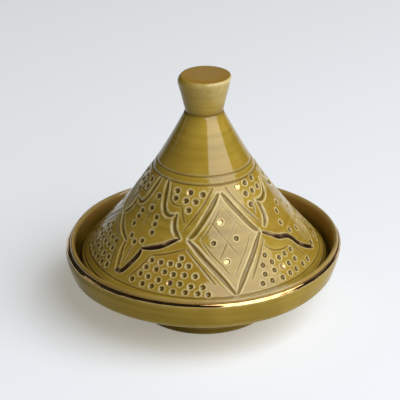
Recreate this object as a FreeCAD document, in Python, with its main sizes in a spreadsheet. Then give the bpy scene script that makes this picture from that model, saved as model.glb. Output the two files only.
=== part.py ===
import FreeCAD, Part
import math
import os

import Sketcher

doc = FreeCAD.newDocument("tagine")

# Driving dimensions in millimetres. Heights are measured from the table.
dims = doc.addObject("Spreadsheet::Sheet", "dims")
SIZES = {
    # Dish
    "rim_diameter": 219.6,
    "dish_height": 61.0,
    "lip_thickness": 6.5,
    "lip_crown": 0.6,
    "wall_taper": 3.2,
    "wall_height": 20.0,
    "wall_bow_radius": 65.0,
    "shoulder_width": 7.8,
    "shoulder_drop": 6.9,
    "shoulder_radius": 7.2,
    "base_diameter": 115.0,
    "floor_diameter": 90.0,
    "floor_thickness": 7.0,
    "bowl_radius": 70.0,
    "seat_depth": 20.0,
    "seat_bevel": 1.5,
    "inner_wall_lean": 2.0,
    # Foot ring under the dish
    "foot_height": 7.0,
    "foot_diameter": 109.5,
    "foot_flare": 1.2,
    "foot_width": 8.0,
    "foot_bevel": 1.0,
    # Gold line on a narrow bevel along the outer edge of the lip
    "gilding_width": 1.9,
    "gilding_drop": 2.2,
    "gilding_thickness": 0.2,
    # Lid, which stands on the dish's ledge inside the wall
    "lid_clearance": 2.3,
    "lid_edge_height": 7.0,
    "lid_edge_width": 8.5,
    "lid_edge_bevel": 1.0,
    "cone_height": 121.6,
    "flare_radius": 400.0,
    "lid_wall": 6.5,
    "neck_diameter": 29.5,
    # Turned grooves on the lid, by height above the lid's seat
    "groove_width": 1.8,
    "upper_groove_height": 87.6,
    "middle_groove_height": 82.0,
    "border_groove_height": 13.5,
    # Carving between the lower two grooves
    "gouge_width": 4.0,
    "gouge_depth": 1.0,
    # Knob
    "knob_height": 29.0,
    "knob_diameter": 41.4,
    "knob_edge_height": 3.0,
    "knob_edge_width": 1.9,
    "knob_edge_radius": 4.2,
    "knob_hollow_diameter": 20.0,
    "knob_cap": 8.0,
}
for row, (alias, value) in enumerate(SIZES.items(), start=1):
    dims.set(f"A{row}", alias)
    dims.set(f"B{row}", str(value))
    dims.setAlias(f"B{row}", alias)
doc.recompute()


def size(expression):
    """The value of an expression in the sheet's names."""
    return float(dims.evalExpression(expression))


def arc_between(start, end, radius, turn):
    """The short arc from start to end, turning left for turn 1 and right for turn -1."""
    middle = (start + end) * 0.5
    chord = end - start
    rise = math.sqrt(radius ** 2 - chord.Length ** 2 / 4)
    left = FreeCAD.Vector(-chord.y, chord.x, 0).normalize()
    centre = middle + left * rise * turn
    first, last = (start, end) if turn > 0 else (end, start)
    circle = Part.Circle(centre, FreeCAD.Vector(0, 0, 1), radius)
    first_angle = math.atan2(first.y - centre.y, first.x - centre.x)
    last_angle = math.atan2(last.y - centre.y, last.x - centre.x)
    if last_angle < first_angle:
        last_angle += 2 * math.pi
    return Part.ArcOfCircle(circle, first_angle, last_angle)


def new_sketch(body, name):
    """An empty sketch on the upright plane of a body, with the radius across and the height up."""
    sketch = body.newObject("Sketcher::SketchObject", name)
    plane = [p for p in body.Origin.OriginFeatures if p.Role == "XZ_Plane"][0]
    sketch.AttachmentSupport = (plane, [""])
    sketch.MapMode = "FlatFace"
    return sketch


def bind(sketch, kind, where, expression):
    """A dimension of a sketch that follows an expression in the sheet's names."""
    index = sketch.addConstraint(Sketcher.Constraint(kind, *where, size(expression)))
    sketch.setExpression(f"Constraints[{index}]", expression)


def place(sketch, where, radius, height):
    """Hold a point of a sketch at a radius and a height; "0" puts it on the axis or the table."""
    for expression, kind, axis in ((radius, "DistanceX", -2), (height, "DistanceY", -1)):
        if expression == "0":
            sketch.addConstraint(Sketcher.Constraint("PointOnObject", *where, axis))
        else:
            bind(sketch, kind, where, expression)


def draw_run(sketch, start, end, arc):
    """One line or arc of an outline. Gives its index and the ends that meet start and end."""
    corners = [FreeCAD.Vector(size(p[0]), size(p[1]), 0) for p in (start, end)]
    if arc is None:
        return sketch.addGeometry(Part.LineSegment(*corners), False), 1, 2
    radius, turn = arc
    index = sketch.addGeometry(arc_between(*corners, size(radius), turn), False)
    bind(sketch, "Radius", (index,), radius)
    return (index, 1, 2) if turn > 0 else (index, 2, 1)


def turned(label, outline):
    """A body turned about the upright axis. Each corner of the closed outline is a radius, a height
    and the run to the next corner: None for a straight one, or an arc's radius and turn."""
    body = doc.addObject("PartDesign::Body", label)
    body.Label = label
    sketch = new_sketch(body, label + "_outline")
    runs = []
    for corner, following in zip(outline, outline[1:] + outline[:1]):
        runs.append(draw_run(sketch, corner, following, corner[2]))
    for corner, run, before in zip(outline, runs, runs[-1:] + runs[:-1]):
        sketch.addConstraint(Sketcher.Constraint("Coincident", before[0], before[2], run[0], run[1]))
        place(sketch, (run[0], run[1]), corner[0], corner[1])
    revolution = body.newObject("PartDesign::Revolution", label + "_turning")
    revolution.Profile = sketch
    revolution.ReferenceAxis = (sketch, ["V_Axis"])
    revolution.Angle = 360
    doc.recompute()
    return body


# Dish: thrown in one, with an upright wall, a round lip and a flat ledge inside that carries the lid.
rim_radius = "dims.rim_diameter / 2"
lip_top_radius = f"{rim_radius} - dims.lip_thickness / 2"
lip_inner = f"{rim_radius} - dims.lip_thickness"
lip_foot_height = "dims.dish_height - dims.lip_thickness / 2"
land_top = "dims.dish_height - dims.lip_crown"
land_foot = f"{land_top} - dims.gilding_drop"
lip_run = "(dims.lip_thickness / 2 - dims.gilding_width)"
lip_crown_radius = f"({lip_run} ^ 2 + dims.lip_crown ^ 2) / (2 * dims.lip_crown)"
shoulder_top = f"{rim_radius} - dims.wall_taper"
shoulder_top_height = "dims.dish_height - dims.wall_height"
seat_height = "dims.dish_height - dims.seat_depth"
seat_outer = f"{lip_inner} - dims.inner_wall_lean"
lid_radius = f"{seat_outer} - dims.lid_clearance"
lid_inner = f"{lid_radius} - dims.lid_edge_width"
floor_height = "dims.foot_height + dims.floor_thickness"
dish = turned("dish", [
    ("0", "dims.foot_height", None),
    ("dims.base_diameter / 2", "dims.foot_height", None),
    (f"{shoulder_top} - dims.shoulder_width", f"{shoulder_top_height} - dims.shoulder_drop",
     ("dims.shoulder_radius", 1)),
    (shoulder_top, shoulder_top_height, ("dims.wall_bow_radius", 1)),
    (rim_radius, land_foot, None),
    (f"{rim_radius} - dims.gilding_width", land_top, (lip_crown_radius, 1)),
    (lip_top_radius, "dims.dish_height", ("dims.lip_thickness / 2", 1)),
    (lip_inner, lip_foot_height, None),
    (seat_outer, seat_height, None),
    (lid_inner, seat_height, None),
    (f"{lid_inner} - dims.seat_bevel", f"{seat_height} - dims.seat_bevel", ("dims.bowl_radius", -1)),
    ("dims.floor_diameter / 2", floor_height, None),
    ("0", floor_height, None),
])

# Foot ring: luted flat under the dish and turned to a slight flare, with its outer edge bevelled.
foot_radius = "dims.foot_diameter / 2"
foot_inner = f"{foot_radius} - dims.foot_width"
foot_ring = turned("foot_ring", [
    (foot_inner, "0", None),
    (f"{foot_radius} - dims.foot_bevel", "0", None),
    (foot_radius, "dims.foot_bevel", None),
    (f"{foot_radius} + dims.foot_flare", "dims.foot_height", None),
    (foot_inner, "dims.foot_height", None),
])

# Gold line: a fired-on skin that covers the bevel along the lip's outer edge.
rim_gilding = turned("rim_gilding", [
    (rim_radius, land_foot, None),
    (f"{rim_radius} + dims.gilding_thickness", land_foot, None),
    (f"{rim_radius} + dims.gilding_thickness - dims.gilding_width", land_top, None),
    (f"{rim_radius} - dims.gilding_width", land_top, None),
])

# Lid cone: thrown hollow, flaring out to a flat-footed edge that stands on the dish's ledge.
edge_top = f"{seat_height} + dims.lid_edge_height"
neck_height = f"{edge_top} + dims.cone_height"
neck_radius = "dims.neck_diameter / 2"
bore_radius = f"{neck_radius} - dims.lid_wall"
lid_turned = turned("lid_turned", [
    (lid_inner, seat_height, None),
    (f"{lid_radius} - dims.lid_edge_bevel", seat_height, None),
    (lid_radius, f"{seat_height} + dims.lid_edge_bevel", None),
    (lid_radius, edge_top, ("dims.flare_radius", -1)),
    (neck_radius, neck_height, None),
    (bore_radius, neck_height, ("dims.flare_radius + dims.lid_wall", 1)),
    (lid_inner, edge_top, None),
])

# Three grooves turned in the cone while it spun: a pair above the carving and one along the border.
# Each is cut by a square tool held on edge, whose centre runs on the cone's surface.
groove_sketch = new_sketch(lid_turned, "groove_tools")
flare_top, flare_foot = (neck_radius, neck_height), (lid_radius, edge_top)
surface, top_end, foot_end = draw_run(groove_sketch, flare_top, flare_foot, ("dims.flare_radius", 1))
groove_sketch.setConstruction(surface, True)
place(groove_sketch, (surface, top_end), *flare_top)
place(groove_sketch, (surface, foot_end), *flare_foot)
groove_half = "dims.groove_width / 2"
for groove in ("upper_groove", "middle_groove", "border_groove"):
    level = f"{seat_height} + dims.{groove}_height"
    fall = (size(neck_height) - size(level)) / size("dims.cone_height")
    middle = FreeCAD.Vector(size(neck_radius) + fall * size(f"{lid_radius} - {neck_radius}"), size(level), 0)
    centre = groove_sketch.addGeometry(Part.Point(middle), True)
    groove_sketch.addConstraint(Sketcher.Constraint("PointOnObject", centre, 1, surface))
    bind(groove_sketch, "DistanceY", (centre, 1), level)
    reach = size(groove_half)
    tips = [middle + FreeCAD.Vector(x * reach, y * reach, 0) for x, y in ((1, 0), (0, 1), (-1, 0), (0, -1))]
    sides = []
    for tip, following in zip(tips, tips[1:] + tips[:1]):
        sides.append(groove_sketch.addGeometry(Part.LineSegment(tip, following), False))
    right, top, left, bottom = sides
    for side, before in zip(sides, sides[-1:] + sides[:-1]):
        groove_sketch.addConstraint(Sketcher.Constraint("Coincident", before, 2, side, 1))
    for tip in (right, left):
        groove_sketch.addConstraint(Sketcher.Constraint("Horizontal", centre, 1, tip, 1))
    for tip in (top, bottom):
        groove_sketch.addConstraint(Sketcher.Constraint("Vertical", centre, 1, tip, 1))
    bind(groove_sketch, "DistanceX", (centre, 1, right, 1), groove_half)
    bind(groove_sketch, "DistanceX", (left, 1, centre, 1), groove_half)
    bind(groove_sketch, "DistanceY", (centre, 1, top, 1), groove_half)
    bind(groove_sketch, "DistanceY", (bottom, 1, centre, 1), groove_half)
volume_before = lid_turned.Shape.Volume
grooves = lid_turned.newObject("PartDesign::Groove", "turned_grooves")
grooves.Profile = groove_sketch
grooves.ReferenceAxis = (groove_sketch, ["V_Axis"])
grooves.Angle = 360
doc.recompute()
if lid_turned.Shape.Volume >= volume_before:
    raise RuntimeError("the turned grooves cut nothing")

# Carving: petals and lozenges cut with a V gouge in the band below the paired grooves. The six centre
# lines were set out by hand, petal and lozenge by turns; angles are from the front, growing to the right.
CENTRE_LINES = (-48.5, 15.5, 77.5, 136.5, 195.5, 253.5, 311.5)
# A stroke's points are shares of the way from a petal's centre line to the next lozenge's, and of the way
# down the band. The strokes are mirrored from cell to cell between the centre lines, and the petal on the
# right was drawn broader than the other two.
LOZENGE = {
    "lozenge_upper": [(0.59, 0.48), (0.77, 0.285), (0.97, 0.085)],
    "lozenge_lower": [(0.59, 0.50), (0.785, 0.69), (0.875, 0.79), (0.99, 0.975)],
}
SLIM_PETAL = {
    "petal_shoulder": [(0.10, 0.02), (0.145, 0.135), (0.18, 0.22), (0.23, 0.28), (0.355, 0.29)],
    "petal_side": [(0.40, 0.28), (0.39, 0.345), (0.415, 0.41), (0.49, 0.49)],
    "petal_arm": [(0.475, 0.495), (0.32, 0.58), (0.22, 0.62), (0.12, 0.65)],
    "petal_tip": [(0.12, 0.655), (0.115, 0.715), (0.075, 0.81), (0.0, 0.925)],
}
BROAD_PETAL = {
    "petal_shoulder": [(0.055, 0.095), (0.125, 0.185), (0.22, 0.225), (0.405, 0.225)],
    "petal_side": [(0.41, 0.245), (0.395, 0.32), (0.415, 0.40), (0.485, 0.46)],
    "petal_arm": [(0.55, 0.51), (0.455, 0.56), (0.38, 0.61), (0.26, 0.645)],
    "petal_tip": [(0.25, 0.65), (0.205, 0.695), (0.165, 0.775), (0.10, 0.845), (0.0, 0.91)],
}
BROAD_CELLS = (1, 2)
STROKE_END = 0.4
flare = arc_between(*[FreeCAD.Vector(size(p[0]), size(p[1]), 0) for p in (flare_top, flare_foot)],
                    size("dims.flare_radius"), 1)
flare_centre = flare.Center


def flare_angle(groove):
    """The angle along the flare's arc at the height of a groove."""
    drop = size(f"{seat_height} + dims.{groove}_height") - flare_centre.y
    return math.pi - math.asin(drop / size("dims.flare_radius"))


def on_cone(turn, share):
    """A point of the band and the direction out of it, by degrees round the lid and share of its height."""
    top, foot = flare_angle("middle_groove"), flare_angle("border_groove")
    along = top + share * (foot - top)
    radius = flare_centre.x + size("dims.flare_radius") * math.cos(along)
    height = flare_centre.y + size("dims.flare_radius") * math.sin(along)
    side = FreeCAD.Vector(math.sin(math.radians(turn)), -math.cos(math.radians(turn)), 0)
    out = side * -math.cos(along) + FreeCAD.Vector(0, 0, -math.sin(along))
    return side * radius + FreeCAD.Vector(0, 0, height), out


def gouge_tool(places):
    """A solid that cuts a V along a stroke, narrowing to both ends."""
    depth = size("dims.gouge_depth")
    sections = []
    for index, (point, out) in enumerate(places):
        before, after = places[max(index - 1, 0)][0], places[min(index + 1, len(places) - 1)][0]
        across = out.cross(after - before).normalize() * size("dims.gouge_width")
        scale = STROKE_END if index in (0, len(places) - 1) else 1.0
        lift = out * depth * scale
        sections.append((point - lift, point + lift + across * scale, point + lift - across * scale))
    faces = [sections[0], sections[-1][::-1]]
    for near, far in zip(sections, sections[1:]):
        for left, right in ((0, 1), (1, 2), (2, 0)):
            faces.append((near[left], far[left], far[right]))
            faces.append((near[left], far[right], near[right]))
    shell = Part.makeShell([Part.Face(Part.makePolygon([*corners, corners[0]])) for corners in faces])
    solid = Part.makeSolid(shell)
    if solid.Volume < 0:
        solid.reverse()
    return solid


gouge_tools = []
for cell, (left, right) in enumerate(zip(CENTRE_LINES, CENTRE_LINES[1:])):
    petal, lozenge = (left, right) if cell % 2 == 0 else (right, left)
    strokes = {**LOZENGE, **(BROAD_PETAL if cell in BROAD_CELLS else SLIM_PETAL)}
    for name, points in strokes.items():
        tool = doc.addObject("Part::Feature", f"{name}_{cell}")
        tool.Shape = gouge_tool([on_cone(petal + turn * (lozenge - petal), share) for turn, share in points])
        gouge_tools.append(tool)
carving = doc.addObject("Part::MultiFuse", "carving_tools")
carving.Shapes = gouge_tools
lid_cone = doc.addObject("Part::Cut", "lid_cone")
lid_cone.Base = lid_turned
lid_cone.Tool = carving
lid_cone.Label = "lid_cone"

# Knob: thrown hollow and luted on the flat top of the neck, whose bore runs on into it.
knob_top = f"{neck_height} + dims.knob_height"
knob_radius = "dims.knob_diameter / 2"
hollow_top = f"{knob_top} - dims.knob_cap"
lid_knob = turned("lid_knob", [
    (bore_radius, neck_height, None),
    (neck_radius, neck_height, None),
    (knob_radius, f"{knob_top} - dims.knob_edge_height", ("dims.knob_edge_radius", 1)),
    (f"{knob_radius} - dims.knob_edge_width", knob_top, None),
    ("0", knob_top, None),
    ("0", hollow_top, None),
    ("dims.knob_hollow_diameter / 2", hollow_top, None),
])

doc.recompute()
for item in doc.Objects:
    if "Invalid" in item.State or "Error" in item.State:
        raise RuntimeError(f"{item.Label} failed: {item.State}")

os.makedirs("parts", exist_ok=True)
for piece in (dish, foot_ring, rim_gilding, lid_cone, lid_knob):
    if piece.Shape.isNull() or not piece.Shape.isValid():
        raise RuntimeError(f"{piece.Label} is not a valid solid")
    piece.Shape.exportStep(f"parts/{piece.Label}.step")
    print(piece.Label, len(piece.Shape.Solids), "solid", round(piece.Shape.Volume / 1000, 2), "ml")
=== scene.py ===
"""Tagine pot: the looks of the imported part, in metres and in the part's own frame.

Angles round the pot are in degrees from the side that faces the camera, growing to the right.
"""
import math

import bpy
import numpy as np
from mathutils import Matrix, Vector


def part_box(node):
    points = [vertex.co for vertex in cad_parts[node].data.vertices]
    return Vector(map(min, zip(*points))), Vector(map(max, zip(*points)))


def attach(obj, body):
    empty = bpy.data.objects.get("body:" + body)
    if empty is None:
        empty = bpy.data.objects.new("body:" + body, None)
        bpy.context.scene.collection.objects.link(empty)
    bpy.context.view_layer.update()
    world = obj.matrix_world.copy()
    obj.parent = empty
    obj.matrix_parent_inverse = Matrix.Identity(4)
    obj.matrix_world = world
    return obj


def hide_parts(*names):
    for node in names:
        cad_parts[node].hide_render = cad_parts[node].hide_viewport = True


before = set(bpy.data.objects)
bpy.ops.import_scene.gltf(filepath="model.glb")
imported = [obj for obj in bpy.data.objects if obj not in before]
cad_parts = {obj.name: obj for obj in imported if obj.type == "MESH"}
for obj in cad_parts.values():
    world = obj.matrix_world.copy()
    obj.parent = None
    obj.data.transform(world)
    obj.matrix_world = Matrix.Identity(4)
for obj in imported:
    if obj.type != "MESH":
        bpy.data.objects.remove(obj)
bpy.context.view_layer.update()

# Foot ring: a plain ring of the same buff earthenware, stuck with slip under the dish and turned true.
# It is glazed outside along with the dish; the face it rests on is wiped bare for the kiln shelf.
MM = 0.001
FOOT_INSET = 8 * MM
FOOT_FLARE = 1.2 * MM
FOOT_EASE = 1.2 * MM
FOOT_JOINT_EASE = 0.3 * MM
WIPED_HEIGHT = 0.15 * MM
SOFT_GLOSS = 1.12
TURNED_COLUMNS = 256
CORNER_STEPS = 7
LEAST_STEP = 1e-6
NIL_RADIUS = 1e-7
SHARP_RADIUS = 2.2 * MM
CORNER_REACH = 1.1 * MM
EDGE_THINNING = 0.4


def linear(red, green, blue):
    """A colour written as a screen shows it, from 0 to 255, as the light values that a shader takes."""
    shares = [value / 255 for value in (red, green, blue)]
    return tuple(s / 12.92 if s <= 0.04045 else ((s + 0.055) / 1.055) ** 2.4 for s in shares) + (1.0,)


def section(corners, closed=False, spacing=1.0 * MM):
    """Points along a turned piece's section. A corner is a radius, a height, how far it is eased, and
    how far the run to the next corner bows to the right of its direction."""
    ends = corners[1:] + corners[:1] if closed else corners[1:]
    runs = []
    for (r0, z0, ease0, bow), (r1, z1, ease1, _) in zip(corners, ends):
        start, along = np.array((r0, z0)), np.array((r1 - r0, z1 - z0))
        length = np.hypot(*along)
        out = np.array((along[1], -along[0])) / length
        first, last = ease0 / length, 1 - ease1 / length
        share = np.linspace(first, last, max(2, round((last - first) * length / spacing) + 1))[:, None]
        runs.append(start + share * along + 4 * bow * share * (1 - share) * out)
    points = [runs[0]]
    bends = list(zip(runs, runs[1:] + runs[:1], ends)) if closed else zip(runs, runs[1:], ends)
    for before, after, corner in bends:
        share = np.linspace(0, 1, CORNER_STEPS)[1:-1, None]
        a, c, b = before[-1], np.array(corner[:2]), after[0]
        points.append((1 - share) ** 2 * a + 2 * share * (1 - share) * c + share ** 2 * b)
        points.append(after)
    if closed:
        points.pop()
    path = np.concatenate(points)
    apart = np.hypot(*np.diff(path, axis=0).T) > LEAST_STEP
    return path[np.concatenate(([True], apart))]


def glaze_marks(path, closed=False):
    """Where glaze gathers and where it runs thin along a section: inside corners and outside corners. The
    mark is full at a corner as tight as the sharp radius, and fades on both sides of it."""
    before, after = (path[-1:], path[:1]) if closed else (path[:1], path[-1:])
    around = np.vstack((before, path, after))
    steps = np.diff(around, axis=0)
    heading = np.unwrap(np.arctan2(steps[:, 1], steps[:, 0]))
    bend = np.diff(heading)
    if not closed:
        bend[[0, -1]] = 0
    along = np.concatenate(([0], np.cumsum(np.hypot(*np.diff(path, axis=0).T))))
    distance = (along[:, None] - along[None, :]) / CORNER_REACH
    spread = np.exp(-distance ** 2 / 2) / (CORNER_REACH * math.sqrt(2 * math.pi))
    crook = spread @ bend * SHARP_RADIUS
    return np.clip(-crook, 0, 1), np.clip(crook, 0, 1)


def ring_points(radius, height, columns):
    """Points round the axis, from the camera's side to the right; one point where the radius is nil."""
    if np.max(radius) < NIL_RADIUS:
        return np.array([[0.0, 0.0, np.max(height)]])
    turn = np.arange(columns) * 2 * math.pi / columns
    level = np.broadcast_to(height, columns)
    return np.column_stack((radius * np.sin(turn), -radius * np.cos(turn), level))


def shell(name, rings, marks, closed=False):
    """A mesh of rings joined one to the next. A ring has as many points as its neighbour, twice or half
    as many, or is one point on the axis. Marks are named values carried by the points."""
    starts = np.cumsum([0] + [len(ring) for ring in rings])
    pairs = list(zip(range(len(rings)), range(1, len(rings))))
    if closed:
        pairs.append((len(rings) - 1, 0))
    faces = []
    for low, high in pairs:
        a, b = np.arange(starts[low], starts[low + 1]), np.arange(starts[high], starts[high + 1])
        a_next, b_next = np.roll(a, -1), np.roll(b, -1)
        if len(a) == len(b):
            made = [(a, a_next, b_next, b)]
        elif len(b) == 1:
            made = [(a, a_next, np.full_like(a, b[0]))]
        elif len(a) == 1:
            made = [(np.full_like(b, a[0]), b_next, b)]
        elif len(b) == 2 * len(a):
            made = [(a, b[1::2], b[::2]), (a, a_next, b[1::2]), (a_next, b_next[1::2], b[1::2])]
        else:
            made = [(a[::2], a[1::2], b), (a[1::2], b_next, b), (a[1::2], a_next[1::2], b_next)]
        for corners in made:
            faces.extend(np.column_stack(corners).tolist())
    mesh = bpy.data.meshes.new(name)
    mesh.from_pydata(np.concatenate(rings).tolist(), [], faces)
    for mark, values in marks.items():
        layer = mesh.attributes.new(mark, "FLOAT", "POINT")
        layer.data.foreach_set("value", np.concatenate(values).astype(np.float32))
    mesh.shade_smooth()
    mesh.validate()
    piece = bpy.data.objects.new(name, mesh)
    bpy.context.scene.collection.objects.link(piece)
    return piece


def turned(name, path, closed=False, own_marks=None):
    """A piece turned from its section. Its own marks are functions of the section's points, and are added
    to the marks of glaze gathered and thinned, or take their place."""
    pooled, thin = glaze_marks(path, closed)
    along = {"pooled": pooled, "thin": EDGE_THINNING * thin}
    for mark, place in (own_marks or {}).items():
        along[mark] = place(path)
    rings = [ring_points(r, z, TURNED_COLUMNS) for r, z in path]
    marks = {}
    for mark, values in along.items():
        marks[mark] = [np.full(len(ring), value) for ring, value in zip(rings, values)]
    return shell(name, rings, marks, closed)


class Wire:
    """An output of a node in a material. Arithmetic on wires adds Math nodes to the same material."""

    def __init__(self, tree, output=None):
        self.tree = tree
        self.output = output

    def node(self, kind, settings=None, values=None, out=0):
        """A node of a kind with its settings, then the values or wires of its sockets."""
        made = self.tree.nodes.new(kind)
        for name, value in (settings or {}).items():
            setattr(made, name, value)
        for name, value in (values or {}).items():
            if isinstance(value, Wire):
                self.tree.links.new(value.output, made.inputs[name])
            else:
                made.inputs[name].default_value = value
        return Wire(self.tree, made.outputs[out] if made.outputs else None)

    def math(self, operation, first, second, clamp=False):
        """What a Math node makes of two values or wires, kept between 0 and 1 if it is clamped."""
        settings = {"operation": operation, "use_clamp": clamp}
        return self.node("ShaderNodeMath", settings, {0: first, 1: second})

    def __add__(self, other):
        return self.math("ADD", self, other)

    def __radd__(self, other):
        return self.math("ADD", other, self)

    def __sub__(self, other):
        return self.math("SUBTRACT", self, other)

    def __rsub__(self, other):
        return self.math("SUBTRACT", other, self)

    def __mul__(self, other):
        return self.math("MULTIPLY", self, other)

    def __rmul__(self, other):
        return self.math("MULTIPLY", other, self)

    def held(self):
        """The value kept between 0 and 1."""
        return self.math("ADD", self, 0.0, clamp=True)

    def blend(self, first, second):
        """A colour between two others, by this value."""
        values = {0: self, 6: first, 7: second}
        return self.node("ShaderNodeMix", {"data_type": "RGBA"}, values, out=2)

    def mark(self, name):
        """One of the values carried by the mesh."""
        return self.node("ShaderNodeAttribute", {"attribute_name": name}, out="Fac")

    def clouds(self, across, up, detail=2.0):
        """Noise in the pot's own frame, in patches per metre across it and up it."""
        spot = self.node("ShaderNodeTexCoord", out="Object")
        scaled = {0: spot, 1: (across, across, up)}
        squeezed = self.node("ShaderNodeVectorMath", {"operation": "MULTIPLY"}, scaled)
        noise = {"Vector": squeezed, "Scale": 1.0, "Detail": detail}
        return self.node("ShaderNodeTexNoise", values=noise)


def new_material(name):
    """An empty material and the wire to build it from."""
    material = bpy.data.materials.new(name)
    material.use_nodes = True
    material.node_tree.nodes.clear()
    return material, Wire(material.node_tree)


def finish_material(wire, values):
    """The surface of a material, from the values and wires of its main shader."""
    surface = wire.node("ShaderNodeBsdfPrincipled", values=values)
    wire.node("ShaderNodeOutputMaterial", values={"Surface": surface})


MUSTARD = linear(186, 155, 60)
OLIVE = linear(158, 130, 42)
TOASTED = linear(178, 136, 45)
BUFF = linear(220, 200, 136)
POOLED_AND_SHADE_BROWN = linear(80, 58, 10)
TAN = linear(170, 133, 66)
AMBER = linear(170, 124, 4)
BARE_CLAY = linear(198, 158, 116)
GOLD = linear(222, 184, 124)
# Gold painted dark for the lustre in the strokes: a painted reflection of a dark room.
PAINTED_SHADE_GOLD = linear(92, 62, 40)


def glaze_material(name, gloss):
    """Mustard glaze: clouded with olive and brown, streaked round the pot, pale where it runs thin over
    edges and brown where it gathers; these marks also carry painted highlights and painted shade. Where
    the mesh is marked it is tan, amber, wiped off, under bright gold or under gold painted dark as a painted
    reflection, or glossier. The gloss is the glaze's index of refraction."""
    material, wire = new_material(name)
    drift = wire.clouds(30.0, 30.0, 3.0)
    blush = wire.clouds(16.0, 26.0, 2.0)
    streaks = wire.clouds(9.0, 330.0, 2.0)
    grain = wire.clouds(420.0, 420.0)
    mottle = wire.clouds(130.0, 90.0)
    lustre_mottle = wire.clouds(80.0, 80.0)
    # The thin and pooled marks are real thinning and pooling of the glaze, and on the dish, the lid's edge
    # and the knob also painted highlights and painted shade.
    thin = (wire.mark("thin") * (grain * 0.8 + mottle * 2.0 - 0.4)).held()
    pooled = (wire.mark("pooled") * (0.8 + grain * 0.4)).held()
    gilded = wire.mark("gilded")
    stroke_lustre = wire.mark("stroke_lustre")
    wiped = wire.mark("wiped")
    body = ((drift - 0.3) * 2.5 + (streaks - 0.5) * 1.6).held().blend(OLIVE, MUSTARD)
    warmed = ((blush - 0.5) * 2.5).held().blend(body, TOASTED)
    broken_and_highlit = thin.blend(warmed, BUFF)
    tanned = wire.mark("tan").blend(broken_and_highlit, TAN)
    deepened = wire.mark("amber").blend(tanned, AMBER)
    gathered = pooled.blend(deepened, POOLED_AND_SHADE_BROWN)
    cleaned = wiped.blend(gathered, BARE_CLAY)
    # The lustre in the strokes: gold painted dark as a painted reflection of a dark room, in patches back to
    # full gold.
    shaded_stroke_gold = ((lustre_mottle - 0.5) * 3.0).held().blend(PAINTED_SHADE_GOLD, GOLD)
    lustred = stroke_lustre.blend(cleaned, shaded_stroke_gold)
    colour = gilded.blend(lustred, GOLD)
    dimples = wire.clouds(900.0, 900.0, 1.0)
    waves = wire.clouds(55.0, 55.0, 1.0)
    height = waves * 6.0 + streaks * 0.8 + dimples * 0.25
    relief = {"Strength": 0.6, "Distance": 0.02 * MM, "Height": height}
    bump = wire.node("ShaderNodeBump", values=relief)
    roughness = 0.05 + grain * 0.05 + gilded * 0.25 + stroke_lustre * 0.22 + wiped * 0.6
    metal = (gilded + stroke_lustre * 0.85).held()
    shine = {"Roughness": roughness, "Metallic": metal, "IOR": gloss, "Normal": bump}
    coat = {"Coat Weight": wire.mark("glossed"), "Coat Roughness": 0.06}
    finish_material(wire, {"Base Color": colour, **shine, **coat})
    return material


def foot_face(path):
    """Where the glaze was wiped off: the face that the pot stands on."""
    return path[:, 1] < WIPED_HEIGHT


soft_glaze = glaze_material("soft_mustard_glaze", SOFT_GLOSS)
foot_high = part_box("foot_ring")[1]
foot_radius = foot_high.x - FOOT_FLARE
foot_inner = foot_radius - FOOT_INSET
foot_section = section([
    (foot_inner, 0.0, FOOT_EASE, 0),
    (foot_radius, 0.0, FOOT_EASE, 0),
    (foot_high.x, foot_high.z, FOOT_JOINT_EASE, 0),
    (foot_inner, foot_high.z, FOOT_JOINT_EASE, 0),
], closed=True, spacing=0.8 * MM)
foot = turned("foot_ring_glazed", foot_section, closed=True, own_marks={"wiped": foot_face})
foot.data.materials.append(soft_glaze)
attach(foot, "dish")
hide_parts("foot_ring")

# Dish: thrown in one from buff earthenware, with a low bowl, a rounded shoulder and an upright wall
# that bows slightly to a round lip. A flat ledge inside carries the lid. Glazed inside and out.
SHOULDER_TOP_INSET = 3.2 * MM
SHOULDER_TOP_DROP = 20.0 * MM
SHOULDER_WIDTH = 7.8 * MM
SHOULDER_DROP = 6.9 * MM
SHOULDER_BOW = 2.2 * MM
WALL_BOW = 0.58 * MM
BASE_RADIUS = 57.5 * MM
LIP_THICKNESS = 6.5 * MM
LIP_LAND_WIDTH = 2.0 * MM
LIP_LAND_DROP = 2.3 * MM
LIP_CROWN = 2.6 * MM
LIP_TOP_INSET = 3.7 * MM
SEAT_DROP = 20.0 * MM
INNER_WALL_LEAN = 2.0 * MM
SEAT_WIDTH = 10.8 * MM
FLOOR_RADIUS = 45.0 * MM
FLOOR_THICKNESS = 7.0 * MM
BOWL_BOW = 4.5 * MM

# How the dish dried out of true. The lip warps most in front and least at the back; the left and right
# warp are its shares halfway between them.
OUT_OF_ROUND = 2.0 * MM
WALL_SWELL = 7.0 * MM
LIP_WARP = 3.2 * MM
LIP_WARP_POWER = 2.5
LEFT_WARP = 0.5
RIGHT_WARP = 0.75
RIGHT_WARP_FADE = 0.5
RIGHT_WARP_LEAST = 0.4

# How its glaze lies, painted shade and painted light among it: the share of each colour or thickness, where
# it starts below the lip and how it fades. The painted light on the lip goes by the distance to the right of
# the middle, as a share of the rim's radius, and only in front: that share is a half at the pot's middle and
# fades to the back.
TAN_DEPTH = 16.0 * MM
TAN_FADE = 10.0 * MM
CROWN_TAN = 0.3
CROWN_TAN_DEPTH = 3.0 * MM
WALL_PAINTED_SHADE = 0.12
INSIDE_PAINTED_SHADE = 0.7
INSIDE_SHADE_DROP = 4.0 * MM
INSIDE_SHADE_FADE = 8.0 * MM
RIM_LINE_DROP = 5.5 * MM
RIM_LINE_WIDTH = 0.7 * MM
RIM_HIGHLIGHT_LINE = 0.4
CROWN_THIN_AND_HIGHLIGHT = 0.6
CROWN_THIN_DROP = 5.5 * MM
CROWN_THIN_FADE = 4.0 * MM
GLOSS_FADE = 1.0 * MM
FRONT_MIDDLE = 0.5
FRONT_FADE = 2.0
INSIDE_RIGHT_SHADE_CLEARING = 0.7
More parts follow.
